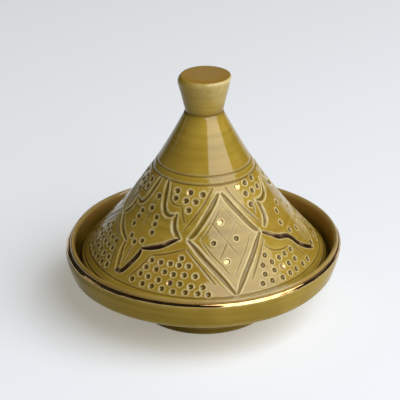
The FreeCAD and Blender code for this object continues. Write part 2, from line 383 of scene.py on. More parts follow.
INSIDE_RIGHT_POWER = 4
INSIDE_LEFT_PAINTED_SHADE = 0.9
WALL_RIGHT_PAINTED_LIGHT = 0.1
LIP_PAINTED_LIGHT = ((-0.67, 0.0, 0.1, 0.5, 0.75, 0.95), (0.0, 1.0, 1.15, 1.15, 0.3, 0.6))

dish_low, dish_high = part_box("dish")
rim_radius, dish_top = dish_high.x, dish_high.z
lip_inner = rim_radius - LIP_THICKNESS
band_foot = dish_top - LIP_CROWN - LIP_LAND_DROP
shoulder_top = (rim_radius - SHOULDER_TOP_INSET, dish_top - SHOULDER_TOP_DROP)
seat_level = dish_top - SEAT_DROP
seat_outer = lip_inner - INNER_WALL_LEAN
floor_level = dish_low.z + FLOOR_THICKNESS
dish_section = section([
    (0.0, dish_low.z, 0, 0),
    (BASE_RADIUS, dish_low.z, 1.0 * MM, 0),
    (shoulder_top[0] - SHOULDER_WIDTH, shoulder_top[1] - SHOULDER_DROP, 1.5 * MM, SHOULDER_BOW),
    (*shoulder_top, 1.2 * MM, WALL_BOW),
    (rim_radius, band_foot, 0.3 * MM, 0),
    (rim_radius - LIP_LAND_WIDTH, dish_top - LIP_CROWN, 0.3 * MM, 0.6 * MM),
    (rim_radius - LIP_TOP_INSET, dish_top, 0.6 * MM, 0.3 * MM),
    (lip_inner, dish_top - LIP_THICKNESS / 2, 1.0 * MM, 0),
    (seat_outer, seat_level, 1.2 * MM, 0),
    (seat_outer - SEAT_WIDTH, seat_level, 1.5 * MM, -BOWL_BOW),
    (FLOOR_RADIUS, floor_level, 3.0 * MM, 0),
    (0.0, floor_level, 0, 0),
])


def lip_inside(path):
    """Where the glaze is tan: over the lip from the gold inwards and down the wall inside, fading out."""
    past_gold = np.arange(len(path)) >= np.argmax(path[:, 1] > dish_top - LIP_CROWN)
    drop = dish_top - path[:, 1]
    off_crown = CROWN_TAN + (1 - CROWN_TAN) * np.clip(drop / CROWN_TAN_DEPTH, 0, 1)
    return past_gold * np.clip((TAN_DEPTH - drop) / TAN_FADE, 0, 1) * off_crown


def wall_pooling_and_shade(path):
    """Where glaze gathers in the corners, with painted shade down the inside from just under the lip and
    under the lid, and a little painted shade all over the wall.
    """
    inside = (np.arange(len(path)) > np.argmax(path[:, 1])) * (path[:, 0] > FLOOR_RADIUS)
    drop = dish_top - path[:, 1]
    painted_inside_shade = INSIDE_PAINTED_SHADE * np.clip((drop - INSIDE_SHADE_DROP) / INSIDE_SHADE_FADE, 0, 1) * inside
    wall_shade = WALL_PAINTED_SHADE * (path[:, 0] > lip_inner)
    return np.maximum.reduce((glaze_marks(path)[0], wall_shade, painted_inside_shade))


def wall_thinning_and_highlights(path):
    """Where glaze runs thin over the corners, with a pale line under the gold and paleness over the top of
    the lip, both glaze thin there and painted highlights.
    """
    drop = dish_top - path[:, 1]
    line = np.exp(-((RIM_LINE_DROP - drop) / RIM_LINE_WIDTH) ** 2)
    # A pale line under the gold: glaze thin over the edge there, and a painted highlight.
    highlight_under_gold = RIM_HIGHLIGHT_LINE * line * (path[:, 0] > rim_radius - MM)
    # Paleness over the top of the lip: glaze thin there, and a painted highlight.
    near_top = np.clip((CROWN_THIN_DROP - drop) / CROWN_THIN_FADE, 0, 1)
    crown_thin_and_highlight = CROWN_THIN_AND_HIGHLIGHT * near_top * (lip_inside(path) > 0)
    return np.maximum.reduce((EDGE_THINNING * glaze_marks(path)[1], highlight_under_gold, crown_thin_and_highlight))


def held(value, low=0.0, high=1.0):
    """A value kept between two others."""
    return min(high, max(low, value))


def dry_out_of_true(piece, inside_from):
    """Bend a turned piece as the clay did in drying: the wall swells on the left under the lip, and the lip
    sinks at the front left and rises on the right. The points from a number on are the dish's inside."""
    for vertex in piece.data.vertices:
        to_right, to_back = vertex.co.x / rim_radius, vertex.co.y / rim_radius
        below_lip = held((dish_top - LIP_CROWN - vertex.co.z) / WALL_SWELL)
        fixed, free = dish_low.z, shoulder_top[1]
        if vertex.index >= inside_from:
            fixed, free = seat_level, dish_top
        share = held((vertex.co.z - fixed) / (free - fixed)) * abs(to_right) ** LIP_WARP_POWER
        vertex.co.x -= OUT_OF_ROUND * below_lip * min(0.0, to_right) ** 2
        if to_right < 0:
            vertex.co.z -= LIP_WARP * share * held(LEFT_WARP - to_back)
        else:
            vertex.co.z += LIP_WARP * share * held(RIGHT_WARP - RIGHT_WARP_FADE * to_back, RIGHT_WARP_LEAST)


def lip_gloss(path):
    """Where the glaze lies thick and glossy: over the top of the lip."""
    return np.clip((path[:, 1] - dish_top + LIP_CROWN) / GLOSS_FADE, 0, 1)


dish_marks = {"tan": lip_inside, "pooled": wall_pooling_and_shade, "thin": wall_thinning_and_highlights, "glossed": lip_gloss}
dish = turned("dish_glazed", dish_section, own_marks=dish_marks)
dish_inside = int(np.argmax(dish_section[:, 1])) * TURNED_COLUMNS
dish_pooled_and_shade, dish_thin_and_light = dish.data.attributes["pooled"].data, dish.data.attributes["thin"].data
# Painted shade and painted light by side: inside, painted shade on the front left and less shade to the
# right; on the outer wall below the gold, the painted shade is taken off to the right and painted light
# added there.
for vertex, pooled_and_shade_mark, thin_and_light_mark in zip(dish.data.vertices, dish_pooled_and_shade, dish_thin_and_light):
    to_right = vertex.co.x / rim_radius
    in_front = held(FRONT_MIDDLE - FRONT_FADE * vertex.co.y / rim_radius)
    if vertex.index >= dish_inside:
        pooled_and_shade_mark.value *= 1 - INSIDE_RIGHT_SHADE_CLEARING * held(to_right) ** INSIDE_RIGHT_POWER
        below_top = vertex.co.z < dish_top - MM
        pooled_and_shade_mark.value += INSIDE_LEFT_PAINTED_SHADE * held(-to_right) * in_front * below_top
    elif vertex.co.z < band_foot:
        pooled_and_shade_mark.value -= WALL_PAINTED_SHADE * held(to_right)
        thin_and_light_mark.value += WALL_RIGHT_PAINTED_LIGHT * held(to_right)
    # Painted light and shade on the lip: in front, its paleness is scaled by the side, none at the left and
    # most just right of the middle.
    if vertex.co.z >= band_foot:
        pale = np.interp(to_right, *LIP_PAINTED_LIGHT)
        thin_and_light_mark.value *= 1 + (pale - 1) * in_front
dry_out_of_true(dish, dish_inside)
dish.data.materials.append(soft_glaze)
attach(dish, "dish")
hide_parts("dish")

# Rim gilding: a line of gold lustre brushed along the outer edge of the lip and fired on last.
# It is a skin a fraction of a millimetre thick, with the small swells that a brush leaves.
GILDING_BULGE = 0.22 * MM
GILDING_DEPTH = 0.12 * MM
GILDING_COLUMNS = 2 * TURNED_COLUMNS
GILDING_ROWS = 9
GILDING_BACK = (0.75, 0.25)
WORN_GOLD = linear(160, 112, 62)
# Each swell of the brush: its share of the band's width, its count round the rim and where it starts.
BRUSH_SWELLS = ((0.1, 3, -1), (0.05, 7, 0), (0.03, 16, 0))
brush_turn = np.arange(GILDING_COLUMNS) * 2 * math.pi / GILDING_COLUMNS
brush_swell = sum(part * np.sin(count * brush_turn + start) for part, count, start in BRUSH_SWELLS)
gilding_rings = []


def add_gilding_ring(share, lift):
    """One ring of the band, at a share of its way up the lip's slope and lifted off it."""
    band_radius = rim_radius - share * LIP_LAND_WIDTH + lift
    band_height = band_foot + share * LIP_LAND_DROP + lift
    gilding_rings.append(ring_points(band_radius, band_height, GILDING_COLUMNS))


# The bulge is highest, at 1, two thirds of the way up the band.
for share in np.linspace(0, 1, GILDING_ROWS):
    bulge = 27 / 4 * share ** 2 * (1 - share)
    add_gilding_ring(0.5 + (share - 0.5) * (1.0 + brush_swell), GILDING_BULGE * bulge)
for share in GILDING_BACK:
    add_gilding_ring(share, -GILDING_DEPTH)


def lustre_material():
    """Fired gold: a thin bright metal, a little browner and rougher where the film is worn."""
    material, wire = new_material("gold_lustre")
    worn = ((wire.clouds(160.0, 160.0, 3.0) - 0.45) * 3.0).held()
    colour = worn.blend(GOLD, WORN_GOLD)
    finish_material(wire, {"Base Color": colour, "Roughness": 0.08 + worn * 0.12, "Metallic": 1.0})
    return material


rim_gilding = shell("rim_gilding_brushed", gilding_rings, {}, closed=True)
dry_out_of_true(rim_gilding, len(rim_gilding.data.vertices))
rim_gilding.data.materials.append(lustre_material())
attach(rim_gilding, "dish")
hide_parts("rim_gilding")

# Lid cone: thrown hollow, with a concave flare from the neck down to a flat foot that stands on the
# dish's ledge. While the clay was leather hard the grooves were turned in it, a band of petals and
# lozenges was gouged and incised, and dots were punched; some strokes and dots were gilded last.
FLARE_RADIUS = 500.0 * MM
NECK_RADIUS = 14.75 * MM
LID_WALL = 6.5 * MM
LID_EDGE_HEIGHT = 7.0 * MM
LID_EDGE_WIDTH = 8.5 * MM
LID_INNER_BOW = 5.5 * MM
LID_COLUMNS = 220
LID_RING_STEP = 0.62
BRIGHT_GLOSS = 1.5
CELL_WIDTH = 63.0
PETAL_AND_LOZENGE_AXES = np.array((-48.5, 15.5, 77.5, 136.5, 195.5, 253.5, 311.5))
CELL_COUNT = len(PETAL_AND_LOZENGE_AXES) - 1

# Glaze gathered under the knob, and painted shade at the lid's edge where it goes down beside the lip, in mm
# from the neck. Then
# the turned grooves: each one's distance from the neck and half its width in mm, its depth as a share of
# that, and its glaze.
NECK_POOLING = 0.45
NECK_POOL_REACH = 1.8
EDGE_PAINTED_SHADE = 0.35
EDGE_SHADE_START = 145.8
EDGE_SHADE_FADE = 2.0
GROOVES = ((46.2, 0.8), (52.7, 1.0), (139.6, 0.7), (145.4, 0.8))
GROOVE_DEPTH = 0.7
GROOVE_POOLING = 0.65
GROOVE_THINNING = 0.35
GROOVE_EDGE = 0.5

# What a tool leaves, in mm: half the width of its cut, how much of that is level floor, the depth, the
# height and width of the burr on each side, and how narrow the ends are. Then how far glaze gathers in
# the cut and thins on its edges, and whether lustre was brushed into it, from 0 to 1.
GOUGE = {"half": 2.1, "level": 0.45, "depth": 0.9, "burr": 0.28, "edge": 0.8, "ends": 0.5,
         "pooled": 0.6, "thin": 1.0, "gilt": 0.0}
GILDED_GOUGE = {**GOUGE, "level": 0.3, "edge": 0.5, "pooled": 0.4, "gilt": 1.0}
WORN_GOUGE = {**GILDED_GOUGE, "gilt": 0.85}
POINT = {"half": 0.85, "level": 0.0, "depth": 0.55, "burr": 0.08, "edge": 0.45, "ends": 0.6,
         "pooled": 0.85, "thin": 0.3, "gilt": 0.0}
NEEDLE = {**POINT, "half": 0.65, "depth": 0.4, "pooled": 0.6}
STROKE_STEPS = 6
STROKE_REACH = 5.0
STROKE_TAPER = 4
BURR_CREST = 0.5
GILT_SPREAD = 1.05
GILT_SHARPNESS = 4
FAR_AWAY = 9.0

# The carving is drawn in a cell that runs from a petal's centre line at 0 to a lozenge's at 63 degrees, and
# is mirrored from cell to cell. A point is an angle in the cell and a distance in mm down from the neck.
# It was drawn freehand, and the petal to the right of the camera's side is broader than the others.
LOZENGE = {
    "upper_channel": (GOUGE, [(37.2, 94.3), (40.5, 90.8), (48.6, 77.5), (56.9, 65.4), (61.0, 60.0)]),
    "lower_channel": (GOUGE, [(37.2, 96.0), (42.2, 101.8), (49.5, 112.4), (55.0, 121.4), (59.2, 130.0),
                              (62.3, 137.6)]),
    "upper_outline": (POINT, [(33.0, 88.3), (38.5, 80.0), (43.8, 72.3), (54.0, 58.2), (56.0, 55.0)]),
    "lower_outline": (POINT, [(36.7, 102.4), (43.8, 112.4), (49.3, 121.6), (53.0, 129.0)]),
    "inner_upper": (NEEDLE, [(45.4, 95.0), (63.0, 68.0)]),
    "inner_lower": (NEEDLE, [(45.4, 95.0), (51.7, 105.7), (58.0, 115.8), (63.0, 126.5)]),
    "upper_crossing": (NEEDLE, [(53.5, 82.0), (63.0, 97.0)]),
    "lower_crossing": (NEEDLE, [(56.4, 110.8), (63.0, 97.0)]),
}
SLIM_PETAL = {
    "shoulder": (GOUGE, [(6.3, 53.5), (7.2, 57.0), (9.2, 64.6), (11.3, 72.0), (14.5, 77.0), (18.6, 78.8),
                         (22.5, 78.0)]),
    "side": (GOUGE, [(25.1, 77.0), (24.6, 82.5), (26.0, 88.5), (28.4, 92.3), (31.0, 95.2)]),
    "arm": (GILDED_GOUGE, [(29.8, 95.6), (24.1, 99.8), (20.2, 103.0), (13.9, 106.4), (7.6, 109.2)]),
    "tip": (WORN_GOUGE, [(7.6, 109.5), (7.2, 115.0), (4.8, 123.3), (2.1, 130.9), (-1.0, 133.8)]),
    "upper_outline": (POINT, [(12.6, 53.5), (14.7, 63.0), (17.0, 67.1), (21.0, 69.8), (28.0, 69.9)]),
    "side_outline": (POINT, [(28.4, 70.5), (29.6, 74.7), (32.8, 83.0)]),
    "arm_outline": (POINT, [(35.9, 102.4), (29.6, 105.7), (21.7, 109.5), (15.8, 111.7)]),
    "tip_outline": (POINT, [(15.0, 112.4), (11.9, 121.6), (7.2, 134.5)]),
    "upper_vein": (NEEDLE, [(1.2, 68.0), (1.2, 91.0)]),
    "lower_vein": (NEEDLE, [(1.0, 111.5), (1.0, 125.0)]),
}
BROAD_PETAL = {
    "shoulder": (GOUGE, [(3.5, 61.0), (8.0, 68.6), (13.8, 72.4), (19.6, 73.7), (25.5, 72.3)]),
    "side": (GOUGE, [(25.8, 74.0), (25.0, 80.6), (26.3, 87.5), (30.4, 92.6)]),
    "arm_and_tip": (GILDED_GOUGE, [(34.5, 96.9), (28.8, 101.2), (23.8, 105.5), (16.3, 108.9), (13.0, 113.2),
                                   (10.5, 120.0), (6.3, 126.0), (1.3, 131.2), (-1.0, 132.5)]),
    "side_outline": (POINT, [(28.8, 68.6), (32.1, 76.3), (33.7, 81.5)]),
    "arm_outline": (POINT, [(37.0, 107.0), (33.7, 112.0), (27.1, 115.0), (20.4, 115.8)]),
    "tip_outline": (POINT, [(16.3, 114.9), (13.8, 125.2), (11.3, 132.9)]),
    "lower_vein": (NEEDLE, [(1.0, 113.0), (1.0, 125.0)]),
}
BROAD_CELLS = (1, 2)
SLIM_CELLS = (0, 3, 4, 5)
GILDED_CELLS = (0, 1)

# Rows of punched dots: the first one's angle and distance, the last one's, their count and the gilded one.
SLIM_ROWS = (
    (20.8, 58.8, 46.7, 59.4, 3, 1), (21.0, 65.1, 40.0, 65.6, 3, None), (34.3, 72.6, 34.3, 72.6, 1, None),
    (34.7, 109.3, 34.7, 109.3, 1, None), (16.8, 115.4, 39.1, 115.1, 5, None),
    (15.4, 121.4, 42.8, 123.1, 6, None), (12.9, 128.1, 47.1, 130.9, 7, 3),
    (10.5, 134.4, 50.1, 136.6, 8, None),
)
BROAD_ROWS = (
    (17.2, 56.0, 42.8, 57.4, 3, 2), (15.4, 63.4, 35.0, 64.5, 3, None), (34.3, 73.0, 34.3, 73.0, 1, None),
    (40.0, 113.9, 40.0, 113.9, 1, None), (20.3, 119.2, 44.0, 120.5, 5, None),
    (21.2, 126.8, 44.7, 127.3, 5, 2), (12.3, 134.4, 48.2, 134.4, 7, None),
)
SLIM_PETAL_DOTS = ((8.6, 83.0), (9.4, 88.5), (9.8, 95.2), (5.4, 103.9))
BROAD_PETAL_DOTS = ((9.4, 89.2), (13.6, 98.0), (9.7, 107.4))
# Dots near a centre line: the angle from it, the distance from the neck and whether it is gilded.
SLIM_AXIS_DOTS = ((2.3, 67.1, 0), (0.5, 77.6, 0), (-0.1, 107.2, 0), (-1.1, 132.1, 1))
BROAD_AXIS_DOTS = ((-1.7, 84.9, 0), (-0.9, 111.7, 0), (1.8, 129.5, 1))
LOZENGE_AXIS_DOTS = ((-2.7, 81.4, 1), (-9.3, 97.3, 0), (6.7, 95.6, 0), (-2.1, 112.2, 1))

# A dot's shape in mm: the radius of its hole in the upper and the lower rows, its wall, its depth, its
# rounded floor and the burr round it. A gilded dot is shallower, with a level floor, and its gold spreads
# onto the burr. Then how far the hand shook, in degrees and mm.
UPPER_DOT = 2.15
LOWER_DOT = 1.95
UPPER_DOTS_END = 80.0
DOT_REACH = 4.0
DOT_WALL = 0.5
DOT_DEPTH = 0.45
DOT_BOWL = 0.5
GILDED_DOT_DEPTH = 0.4
DOT_BURR = 0.22
DOT_BURR_WIDTH = 1.25
DOT_BURR_INSIDE = 0.1
DOT_BURR_RISE = 0.4
DOT_BURR_FALL = 0.45
DOT_POOLING = 0.8
DOT_GOLD_SPREAD = 0.5
DOT_GOLD_FADE = 0.4
DOT_SHAKE = 0.5
DOT_SEED = 11

lid_low, lid_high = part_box("lid_cone")
lid_radius, lid_seat, neck_level = lid_high.x, lid_low.z, lid_high.z
edge_top = lid_seat + LID_EDGE_HEIGHT
neck_point = np.array((NECK_RADIUS, neck_level))
edge_point = np.array((lid_radius, edge_top))
flare_chord = edge_point - neck_point
chord_length = np.hypot(*flare_chord)
flare_side = np.array((-flare_chord[1], flare_chord[0])) / chord_length
flare_rise = math.sqrt(FLARE_RADIUS ** 2 - chord_length ** 2 / 4)
flare_centre = (neck_point + edge_point) / 2 + flare_side * flare_rise
flare_start = math.atan2(*(neck_point - flare_centre)[::-1])
flare_length = FLARE_RADIUS * 2 * math.asin(chord_length / 2 / FLARE_RADIUS)


def on_flare(slant, lift=0.0):
    """Radius and height of a point of the lid by its distance from the neck, lifted off the surface."""
    angle = flare_start + slant / FLARE_RADIUS
    away = np.array((math.cos(angle), math.sin(angle)))
    return flare_centre[:, None] + away[:, None] * (FLARE_RADIUS - np.atleast_1d(lift))


def smooth_stroke(points):
    """A stroke through a few points as short straight pieces: a smooth curve, or the line itself."""
    given = np.array(points)
    if len(given) == 2:
        return given
    padded = np.vstack((2 * given[0] - given[1], given, 2 * given[-1] - given[-2]))
    pieces = [given[:1]]
    t = np.linspace(0, 1, STROKE_STEPS + 1)[1:, None]
    for p0, p1, p2, p3 in zip(padded, padded[1:], padded[2:], padded[3:]):
        pieces.append(0.5 * (2 * p1 + (p2 - p0) * t + (2 * p0 - 5 * p1 + 4 * p2 - p3) * t ** 2
                             + (3 * p1 - 3 * p2 + p3 - p0) * t ** 3))
    return np.vstack(pieces)


STROKES = []
for strokes, cells in ((LOZENGE, range(CELL_COUNT)), (SLIM_PETAL, SLIM_CELLS), (BROAD_PETAL, BROAD_CELLS)):
    for tool, points in strokes.values():
        STROKES.append((smooth_stroke(points), tool, tuple(cells)))


def dot_list():
    """Every punched dot round the lid: angle, distance from the neck and whether it is gilded."""
    shaky = np.random.default_rng(DOT_SEED)
    dots = []
    for cell, (left, right) in enumerate(zip(PETAL_AND_LOZENGE_AXES, PETAL_AND_LOZENGE_AXES[1:])):
        petal, lozenge = (left, right) if cell % 2 == 0 else (right, left)
        degree = (lozenge - petal) / CELL_WIDTH
        broad = cell in BROAD_CELLS
        for first, first_slant, last, last_slant, count, gilded in BROAD_ROWS if broad else SLIM_ROWS:
            angles = np.linspace(first, last, count)
            slants = np.linspace(first_slant, last_slant, count)
            for index, (angle, slant) in enumerate(zip(angles, slants)):
                off_angle, off_slant = shaky.uniform(-DOT_SHAKE, DOT_SHAKE, 2)
                place = petal + (angle + off_angle) * degree
                dots.append((place, slant + off_slant, float(index == gilded)))
        for angle, slant in BROAD_PETAL_DOTS if broad else SLIM_PETAL_DOTS:
            dots.append((petal + angle * degree, slant, 0.0))
        petal_dots = BROAD_AXIS_DOTS if broad else SLIM_AXIS_DOTS
        axis, axis_dots = (petal, petal_dots) if cell % 2 == 0 else (lozenge, LOZENGE_AXIS_DOTS)
        for angle, slant, gilded in axis_dots:
            dots.append((axis + angle, slant, float(gilded)))
    return np.array(dots)


DOTS = dot_list()


def eased(value):
    """A share held between 0 and 1, with both ends rounded."""
    share = np.clip(value, 0, 1)
    return share * share * (3 - 2 * share)


def stroke_distance(points, tool, angle, across, slant):
    """Distance of the points round the lid from a stroke: from its middle as a share of half its width, and
    from its edge in mm."""
    share = np.full(len(angle), FAR_AWAY)
    past_edge = np.full(len(angle), FAR_AWAY)
    reach = np.linspace(0, 1, len(points))
    for (a0, s0), (a1, s1), t0, t1 in zip(points, points[1:], reach, reach[1:]):
        dx, dy = (a1 - a0) * across, s1 - s0
        px, py = (angle - a0) * across, slant - s0
        t = np.clip((px * dx + py * dy) / (dx * dx + dy * dy), 0, 1)
        distance = np.hypot(px - t * dx, py - t * dy)
        along = t0 + (t1 - t0) * t
        narrowing = np.minimum(1, STROKE_TAPER * np.minimum(along, 1 - along))
        width = tool["half"] * (tool["ends"] + (1 - tool["ends"]) * narrowing)
        share = np.minimum(share, distance / width)
        past_edge = np.minimum(past_edge, distance - width)
    return share, past_edge


def carved_ring(turn, slant):
    """Lift of the surface round the lid at one distance from the neck, and the marks of its glaze and
    lustre. Lengths are in mm."""
    radius = on_flare(slant * MM)[0, 0] / MM
    lift, thin, gilded, stroke_lustre = (np.zeros(len(turn)) for _ in range(4))
    at_neck = NECK_POOLING * math.exp(-slant / NECK_POOL_REACH)
    # Painted shade at the lid's edge, beside the lip.
    shade_at_edge = EDGE_PAINTED_SHADE * np.clip((slant - EDGE_SHADE_START) / EDGE_SHADE_FADE, 0, 1)
    pooled = np.full(len(turn), at_neck + shade_at_edge)
    for groove, half in GROOVES:
        hollow = max(0.0, 1 - ((slant - groove) / half) ** 2)
        lift -= GROOVE_DEPTH * half * hollow
        pooled = np.maximum(pooled, GROOVE_POOLING * hollow)
        above_groove = (slant - groove + half + GROOVE_EDGE) / GROOVE_EDGE
        thin = np.maximum(thin, GROOVE_THINNING * math.exp(-above_groove ** 2))
    low = PETAL_AND_LOZENGE_AXES[0]
    folded = (turn - low) % 360 + low
    cell = np.searchsorted(PETAL_AND_LOZENGE_AXES, folded, side="right") - 1
    cell = np.clip(cell, 0, CELL_COUNT - 1)
    left, right = PETAL_AND_LOZENGE_AXES[cell], PETAL_AND_LOZENGE_AXES[cell + 1]
    share = (folded - left) / (right - left)
    angle = np.where(cell % 2 == 0, share, 1 - share) * CELL_WIDTH
    across = radius * math.radians(1) * (right - left) / CELL_WIDTH
    for points, tool, cells in STROKES:
        if not points[:, 1].min() - STROKE_REACH < slant < points[:, 1].max() + STROKE_REACH:
            continue
        across_cut, past_edge = stroke_distance(points, tool, angle, across, slant)
        elsewhere = ~np.isin(cell, cells)
        across_cut[elsewhere] = FAR_AWAY
        past_edge[elsewhere] = FAR_AWAY
        cut = eased((1 - across_cut) / (1 - tool["level"]))
        edge = np.exp(-(past_edge / tool["edge"] - BURR_CREST) ** 2)
        lift = lift - tool["depth"] * cut + tool["burr"] * edge
        pooled = np.maximum(pooled, tool["pooled"] * cut)
        thin = np.maximum(thin * (1 - cut), tool["thin"] * edge)
        gilt_here = tool["gilt"] * np.isin(cell, GILDED_CELLS)
        gilt_cover = np.clip((GILT_SPREAD - across_cut) * GILT_SHARPNESS, 0, 1)
        stroke_lustre = np.maximum(stroke_lustre, gilt_here * gilt_cover)
    for dot_angle, dot_slant, gilt in DOTS[np.abs(DOTS[:, 1] - slant) < DOT_REACH]:
        sideways = ((turn - dot_angle + 180) % 360 - 180) * radius * math.radians(1)
        distance = np.hypot(sideways, slant - dot_slant)
        size = UPPER_DOT if dot_slant < UPPER_DOTS_END else LOWER_DOT
        outside = distance - size
        hole = eased((DOT_WALL / 2 - outside) / DOT_WALL)
        bowl = np.clip(1 - (distance / size) ** 2, 0, 1)
        burr = eased((outside + DOT_BURR_INSIDE) / DOT_BURR_RISE)
        burr = burr * eased((DOT_BURR_WIDTH - outside) / DOT_BURR_FALL)
        kept = np.clip(outside, 0, 1)
        depth, bowl_depth = (GILDED_DOT_DEPTH, 0.0) if gilt else (DOT_DEPTH, DOT_BOWL)
        lift = lift * kept - depth * hole - bowl_depth * bowl + DOT_BURR * burr
        pooled = np.maximum(pooled * kept, DOT_POOLING * hole * (1 - gilt))
        thin = np.maximum(thin * kept, burr)
        stroke_lustre = stroke_lustre * kept
        gilded = np.maximum(gilded, gilt * eased((DOT_GOLD_SPREAD - outside) / DOT_GOLD_FADE))
    return lift, {"pooled": pooled, "thin": thin, "gilded": gilded, "stroke_lustre": stroke_lustre}


lid_rings = []
lid_marks = {"pooled": [], "thin": [], "gilded": [], "stroke_lustre": []}


def add_lid_ring(columns, slant):
    """One carved ring of the lid's outside."""
    turn = np.arange(columns) * 360 / columns
    lift, marks = carved_ring(turn, slant)
    radius, height = on_flare(slant * MM, lift * MM)
    lid_rings.append(ring_points(radius, height, columns))
    for mark, values in marks.items():
        lid_marks[mark].append(values)


def add_plain_rings(path, columns):
    """Rings of the lid that carry no carving."""
    pooled, thin = glaze_marks(path)
    for (radius, height), gathered, thinned in zip(path, pooled, EDGE_THINNING * thin):
        lid_rings.append(ring_points(radius, height, columns))
        for mark, value in (("pooled", gathered), ("thin", thinned), ("gilded", 0.0), ("stroke_lustre", 0.0)):
            lid_marks[mark].append(np.full(columns, value))


full_slant = flare_length / MM
inner_radius = lid_radius - LID_EDGE_WIDTH
bore_radius = NECK_RADIUS - LID_WALL
lid_foot_path = section([
    (inner_radius, edge_top, 2.0 * MM, 0),
    (inner_radius, lid_seat, 1.0 * MM, 0),
    (lid_radius, lid_seat, 1.0 * MM, 0),
    (lid_radius, edge_top, 1.6 * MM, 0),
], spacing=2.0 * MM)
add_plain_rings(lid_foot_path, LID_COLUMNS)
# The outside from the edge up to the neck: how many times the columns, and the rings' distances from the
# neck in mm. The rings are close and have the most points where the carving is fine.
outside_rings = (
    (2, [full_slant - 1.0]),
    (4, np.linspace(full_slant - 2.0, 141.0, 12)),
    (4, np.arange(140.4, 94.0, -LID_RING_STEP)),
    (2, np.arange(94.0, 43.5, -LID_RING_STEP)),
    (1, np.linspace(43.0, 0.0, 18)),
)
for times, slants in outside_rings:
    for slant in slants:
        add_lid_ring(times * LID_COLUMNS, slant)
lid_inside_path = section([
    (NECK_RADIUS, neck_level, 0.4 * MM, 0),
    (bore_radius, neck_level, 0.4 * MM, LID_INNER_BOW),
    (inner_radius, edge_top, 2.0 * MM, 0),
], spacing=6.0 * MM)[1:]
add_plain_rings(lid_inside_path, LID_COLUMNS)
lid = shell("lid_cone_carved", lid_rings, lid_marks, closed=True)
lid.data.materials.append(glaze_material("bright_mustard_glaze", BRIGHT_GLOSS))
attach(lid, "lid")
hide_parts("lid_cone")

# Knob: thrown hollow as a small cup that widens upwards, closed by a flat top, and stuck on the neck
# with slip. Its top edge is rounded over, and the glaze gathers in the crease where it meets the cone.
KNOB_EDGE_HEIGHT = 3.4 * MM
KNOB_EDGE_WIDTH = 1.8 * MM
KNOB_CROWN = 0.1 * MM
KNOB_TOP_SLACK = 0.05 * MM
KNOB_EDGE_SAG = 1.5 * MM
KNOB_SAG_SPAN = 14.0 * MM
KNOB_TOP_SHIFT = 1.3 * MM
SATIN_GLOSS = 1.22

# How its glaze lies: the share of each colour or thickness, and how far from an edge it starts or fades.
# Round the knob, painted light makes the pale edge and side brighter to the right, and the amber on its top
# fades to the back.
KNOB_FOOT_POOLING = 0.65
KNOB_FOOT_REACH = 1.8 * MM
KNOB_TOP_POOLING = 0.05
KNOB_RING_POOLING = 0.15
KNOB_RING_REACH = 2.0 * MM
KNOB_TOP_TAN = 0.8
KNOB_TAN_FADE = 7.0 * MM
KNOB_AMBER_REACH = 7.0 * MM
KNOB_SIDE_THINNING = 0.6
KNOB_EDGE_THIN_AND_HIGHLIGHT = 1.2
KNOB_THIN_DROP = 1.6 * MM
KNOB_THIN_REACH = 0.9 * MM
KNOB_GLOSS_DROP = 1.8 * MM
KNOB_GLOSS_REACH = 1.5 * MM
KNOB_PAINTED_LIGHT_MIDDLE = 0.6
KNOB_PAINTED_LIGHT_TO_RIGHT = 0.8
KNOB_AMBER_MIDDLE = 0.55

knob_low, knob_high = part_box("lid_knob")
knob_section = section([
    (0.0, knob_low.z, 0, 0),
    (NECK_RADIUS, knob_low.z, 0.3 * MM, 0),
    (knob_high.x, knob_high.z - KNOB_EDGE_HEIGHT, 1.0 * MM, 0.55 * MM),
    (knob_high.x - KNOB_EDGE_WIDTH, knob_high.z - KNOB_CROWN, 0.3 * MM, 0.15 * MM),
    (0.0, knob_high.z, 0, 0),
], spacing=0.8 * MM)


def inside_knob_edge(path):
    """How far each point lies inwards from the knob's rounded edge."""
    return knob_high.x - KNOB_EDGE_WIDTH - path[:, 0]


def on_knob_top(path):
    """Which points lie on the knob's top."""
    return (path[:, 1] > knob_high.z - KNOB_CROWN - KNOB_TOP_SLACK) * (inside_knob_edge(path) > 0)


def knob_crease(path):
    """Where glaze gathers: round the knob's foot, and a little on the top inside its edge."""
    rise = path[:, 1] - knob_low.z
    foot = KNOB_FOOT_POOLING * np.exp(-rise / KNOB_FOOT_REACH) * (path[:, 0] > NECK_RADIUS / 2)
    ring = KNOB_RING_POOLING * np.exp(-inside_knob_edge(path) / KNOB_RING_REACH)
    return np.maximum(foot, (KNOB_TOP_POOLING + ring) * on_knob_top(path))


def knob_top(path):
    """Where the glaze is tan: in the middle of the top."""
    middle = np.clip(inside_knob_edge(path) / KNOB_TAN_FADE, 0, 1)
    return KNOB_TOP_TAN * middle * (path[:, 1] > knob_high.z - MM)


def knob_thinning_and_highlight(path):
    """Where glaze runs thin: up the side away from the crease, and over the rounded edge, where it is also a
    painted highlight.
    """
    rise = np.clip((path[:, 1] - knob_low.z) / (knob_high.z - knob_low.z), 0, 1)
    outside = path[:, 0] > knob_high.x - KNOB_EDGE_WIDTH - (1 - rise) * knob_high.x
    from_edge = (path[:, 1] - knob_high.z + KNOB_THIN_DROP) / KNOB_THIN_REACH
    edge_thin_and_highlight = KNOB_EDGE_THIN_AND_HIGHLIGHT * np.exp(-from_edge ** 2)
    return np.maximum(KNOB_SIDE_THINNING * rise, edge_thin_and_highlight) * outside * (1 - knob_crease(path))


def knob_amber(path):
    """Where the glaze lies deep and amber: on the top, from its edge inwards."""
    return np.exp(-(inside_knob_edge(path) / KNOB_AMBER_REACH) ** 2) * on_knob_top(path)


